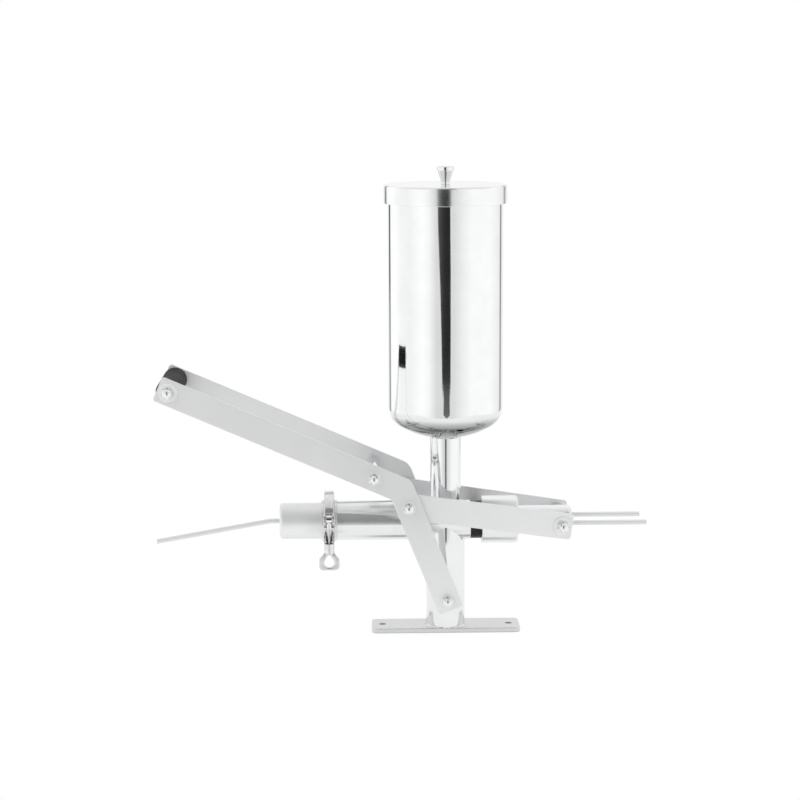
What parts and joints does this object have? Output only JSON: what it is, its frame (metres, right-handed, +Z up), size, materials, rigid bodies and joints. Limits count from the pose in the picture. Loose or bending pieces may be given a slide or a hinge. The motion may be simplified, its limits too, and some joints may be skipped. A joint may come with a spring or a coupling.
{
  "type": "churro filler",
  "caption": "Hand-lever churro filler: tall lidded steel hopper over a horizontal plunger pump on a column foot, with dog-leg lever, links, clamped outlet and thin nozzle.",
  "frame": {"origin": "underside of the base plate, on the column axis", "axes": "+X from the outlet nozzle towards the plunger rod, +Y to the rear of the pictured side, +Z up along the column"},
  "size_m": [0.6395, 0.1586, 0.607],
  "materials": {
    "polished_steel": "mirror-polished stainless steel",
    "brushed_steel": "fine brushed stainless sheet, grain along the part",
    "fastener_steel": "bright turned stainless steel",
    "cast_steel": "tumbled cast stainless steel",
    "knob_steel": "turned and polished stainless steel",
    "weld_steel": "dressed weld bead",
    "grip_black": "satin black hand grip",
    "plunger_black": "turned black food-grade plastic",
    "seal_black": "black seal cord",
    "seal_white": "white silicone gasket"
  },
  "bodies": {
    "frame": {"base_plate": "brushed_steel", "column": "polished_steel", "column_weld_bead": "weld_steel", "pump_cylinder": "polished_steel", "neck_tube": "polished_steel", "neck_weld_bead": "weld_steel", "hopper": "polished_steel", "pivot_tube": "fastener_steel", "pivot_bolt": "fastener_steel", "pivot_washers": "fastener_steel", "pivot_nuts": "fastener_steel", "pump_ferrule": "fastener_steel", "gasket": "seal_white", "cap_ferrule": "fastener_steel", "outlet_cap": "polished_steel", "nozzle": "polished_steel", "clamp_upper": "cast_steel", "clamp_lower": "cast_steel", "clamp_hinge_pin": "fastener_steel", "swing_pin": "fastener_steel"},
    "lid": {"lid": "polished_steel", "lid_knob": "knob_steel", "knob_screw": "fastener_steel"},
    "lever": {"lever_front": "brushed_steel", "lever_rear": "brushed_steel", "spacer_tube": "fastener_steel", "spacer_bolt": "fastener_steel", "spacer_washers": "fastener_steel", "spacer_nuts": "fastener_steel", "handle_tube": "fastener_steel", "handle_bolt": "fastener_steel", "handle_washers": "fastener_steel", "handle_nuts": "fastener_steel", "link_bolts": "fastener_steel", "link_spacers": "fastener_steel", "link_inner_washers": "fastener_steel", "link_washers": "fastener_steel", "link_nuts": "fastener_steel"},
    "grip": {"grip": "grip_black"},
    "plunger": {"plunger": "plunger_black", "plunger_seals": "seal_black", "stop_collar": "polished_steel", "plunger_rod": "polished_steel", "crosshead_sleeve": "fastener_steel", "crosshead_studs": "fastener_steel", "crosshead_washers": "fastener_steel", "crosshead_nuts": "fastener_steel", "twin_tube_near": "polished_steel", "twin_tube_far": "polished_steel"},
    "link_front": {"link_front": "brushed_steel"},
    "link_rear": {"link_rear": "brushed_steel"},
    "swing_bolt": {"swing_bolt": "fastener_steel"},
    "wing_nut": {"wing_nut": "cast_steel"}
  },
  "joints": [
    {"name": "lid_lift", "type": "slide", "parent": "frame", "child": "lid", "axis": [0, 0, 1], "range_m": [0, 0.15]},
    {"name": "lever_swing", "type": "hinge", "parent": "frame", "child": "lever", "pos_m": [0, 0, 0.052], "axis": [0, 1, 0], "range_deg": [-6, 21]},
    {"name": "grip_turn", "type": "hinge", "parent": "lever", "child": "grip", "pos_m": [-0.35448, 0, 0.32582], "axis": [0, 1, 0], "continuous": true},
    {"name": "plunger_stroke", "type": "slide", "parent": "frame", "child": "plunger", "axis": [1, 0, 0], "range_m": [-0.0135, 0.0455]},
    {"name": "link_front_pivot", "type": "hinge", "parent": "plunger", "child": "link_front", "pos_m": [0.1495, 0, 0.146], "axis": [0, 1, 0], "range_deg": [-1.2, 3.5]},
    {"name": "link_rear_pivot", "type": "hinge", "parent": "plunger", "child": "link_rear", "pos_m": [0.1495, 0, 0.146], "axis": [0, 1, 0], "range_deg": [-1.2, 3.5]},
    {"name": "swing_bolt_pivot", "type": "hinge", "parent": "frame", "child": "swing_bolt", "pos_m": [-0.152, -0.046, 0.1575], "axis": [-1, 0, 0], "range_deg": [0, 95]},
    {"name": "wing_nut_turn", "type": "hinge", "parent": "swing_bolt", "child": "wing_nut", "pos_m": [-0.152, -0.046, 0.12], "axis": [0, 0, 1], "continuous": true}
  ],
  "couplings": [
    {"joint": "plunger_stroke", "follows": "lever_swing", "m_per_rad": 0.1215},
    {"joint": "link_front_pivot", "follows": "lever_swing", "ratio": 0.155},
    {"joint": "link_rear_pivot", "follows": "lever_swing", "ratio": 0.155}
  ]
}
